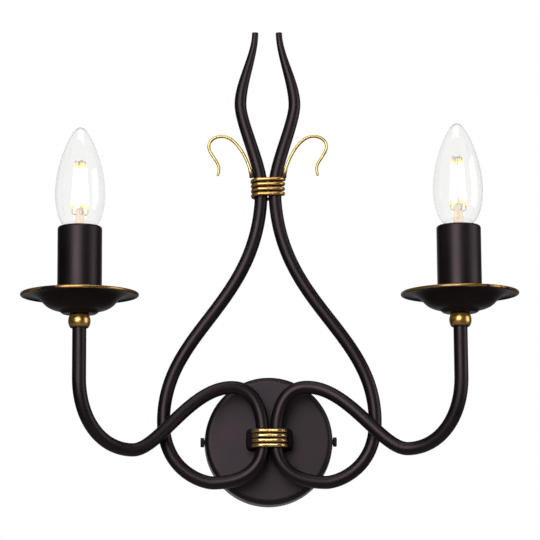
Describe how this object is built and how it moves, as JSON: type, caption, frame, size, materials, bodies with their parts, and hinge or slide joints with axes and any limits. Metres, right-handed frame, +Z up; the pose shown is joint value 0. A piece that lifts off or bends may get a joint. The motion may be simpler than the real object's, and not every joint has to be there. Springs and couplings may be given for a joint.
{
  "type": "wall lamp",
  "caption": "Wall lamp of scrolled dark tubes with gilt bindings and hooks; clear candle bulbs in dark sleeves stand on drip pans to either side of a round back plate.",
  "frame": {"origin": "on the wall, in the middle of the round back plate and midway between the strap's two screw slots", "axes": "+X to the right as seen from the room, +Y into the wall, +Z up"},
  "size_m": [0.345, 0.124, 0.3391],
  "materials": {
    "dark_paint": "matt brown-black paint with a fine grain",
    "gilt": "antique gold paint rubbed back, with brown patina in the hollows",
    "zinc": "bright zinc plate",
    "bare_brass": "bare pressed and turned brass",
    "nickel": "nickel-plated thin sheet",
    "white_plastic": "matt heat-proof moulding",
    "cap_insulator": "black glass insulator",
    "clear_glass": "clear blown glass",
    "glow": "glowing filament coating",
    "lead_wire": "thin bare lead wire and stamped tabs",
    "wire_skin": "coloured wire insulation",
    "earth_skin": "green and yellow wire insulation"
  },
  "bodies": {
    "lamp": {"wall_strap": "zinc", "earth_screw": "zinc", "earth_tags": "zinc", "earth_lead": "earth_skin", "terminal_block": "white_plastic", "terminal_barrels": "bare_brass", "terminal_screws": "zinc", "block_screw": "zinc", "canopy": "dark_paint", "hub_stud": "zinc", "hub_washer": "zinc", "hub_nut": "zinc", "hub_block": "dark_paint", "hub_binding": "gilt", "scroll_tube_left": "dark_paint", "scroll_tube_right": "dark_paint", "finial_wrap": "gilt", "hook_left": "gilt", "hook_right": "gilt", "bead_left": "gilt", "bead_right": "gilt", "nipple_left": "zinc", "nipple_right": "zinc", "drip_pan_left": "dark_paint", "drip_pan_right": "dark_paint", "pan_nut_left": "zinc", "pan_nut_right": "zinc", "lampholder_left": "white_plastic", "lampholder_right": "white_plastic", "holder_shell_left": "bare_brass", "holder_shell_right": "bare_brass", "holder_contact_left": "bare_brass", "holder_contact_right": "bare_brass", "holder_terminals_left": "bare_brass", "holder_terminals_right": "bare_brass", "arm_wires_left": "wire_skin", "arm_wires_right": "wire_skin"},
    "thumbscrew_left": {"thumbscrew_left": "dark_paint"},
    "sleeve_left": {"candle_sleeve_left": "dark_paint"},
    "contact_left": {"bulb_contact_left": "nickel"},
    "bulb_left": {"bulb_glass_left": "clear_glass", "bulb_cap_left": "nickel", "bulb_insulator_left": "cap_insulator", "bulb_stem_left": "clear_glass", "bulb_filaments_left": "glow", "bulb_leads_left": "lead_wire"},
    "thumbscrew_right": {"thumbscrew_right": "dark_paint"},
    "sleeve_right": {"candle_sleeve_right": "dark_paint"},
    "contact_right": {"bulb_contact_right": "nickel"},
    "bulb_right": {"bulb_glass_right": "clear_glass", "bulb_cap_right": "nickel", "bulb_insulator_right": "cap_insulator", "bulb_stem_right": "clear_glass", "bulb_filaments_right": "glow", "bulb_leads_right": "lead_wire"}
  },
  "joints": [
    {"name": "thumbscrew_left_out", "type": "slide", "parent": "lamp", "child": "thumbscrew_left", "axis": [-1, 0, 0], "range_m": [0, 0.0095]},
    {"name": "sleeve_left_lift", "type": "slide", "parent": "lamp", "child": "sleeve_left", "axis": [0, 0, 1], "range_m": [0, 0.003]},
    {"name": "bulb_left_rise", "type": "slide", "parent": "lamp", "child": "contact_left", "axis": [0, 0, 1], "range_m": [0, 0.01412]},
    {"name": "bulb_left_turn", "type": "hinge", "parent": "contact_left", "child": "bulb_left", "pos_m": [-0.1315, -0.083, 0.13], "axis": [0, 0, 1], "range_deg": [0, 1800]},
    {"name": "thumbscrew_right_out", "type": "slide", "parent": "lamp", "child": "thumbscrew_right", "axis": [1, 0, 0], "range_m": [0, 0.0095]},
    {"name": "sleeve_right_lift", "type": "slide", "parent": "lamp", "child": "sleeve_right", "axis": [0, 0, 1], "range_m": [0, 0.0055]},
    {"name": "bulb_right_rise", "type": "slide", "parent": "lamp", "child": "contact_right", "axis": [0, 0, 1], "range_m": [0, 0.01412]},
    {"name": "bulb_right_turn", "type": "hinge", "parent": "contact_right", "child": "bulb_right", "pos_m": [0.1315, -0.083, 0.13], "axis": [0, 0, 1], "range_deg": [0, 1800]}
  ],
  "couplings": [
    {"joint": "bulb_left_rise", "follows": "bulb_left_turn", "m_per_rad": 0.00044913},
    {"joint": "bulb_right_rise", "follows": "bulb_right_turn", "m_per_rad": 0.00044913}
  ]
}
